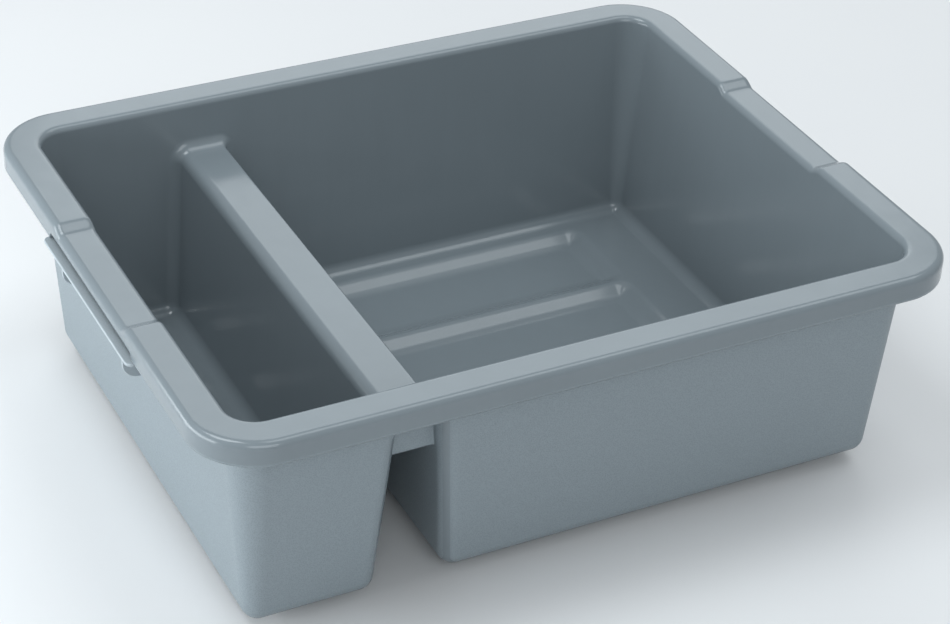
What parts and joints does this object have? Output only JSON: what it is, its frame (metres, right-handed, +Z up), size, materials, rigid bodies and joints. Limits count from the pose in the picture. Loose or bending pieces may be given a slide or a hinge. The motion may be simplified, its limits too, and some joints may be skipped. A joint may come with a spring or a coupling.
{
  "type": "divided tool storage caddy",
  "caption": "Open moulded plastic tub with a rolled rim, a hollow saddle divider making a narrow and a wide compartment, a ribbed floor and a hand grip at each short end.",
  "frame": {"origin": "middle of the footprint, on the plane the floor pads stand on", "axes": "+X along the long side, from the narrow compartment to the wide one; +Y from the front to the back; +Z up"},
  "size_m": [0.554, 0.435, 0.178],
  "materials": {
    "tub_plastic": "grey polyethylene, glossy inside and on the rim, finely textured outside",
    "grip_plastic": "grey polyethylene, satin"
  },
  "bodies": {
    "root": {"tub": "tub_plastic", "left_grip": "grip_plastic", "right_grip": "grip_plastic"}
  },
  "joints": []
}
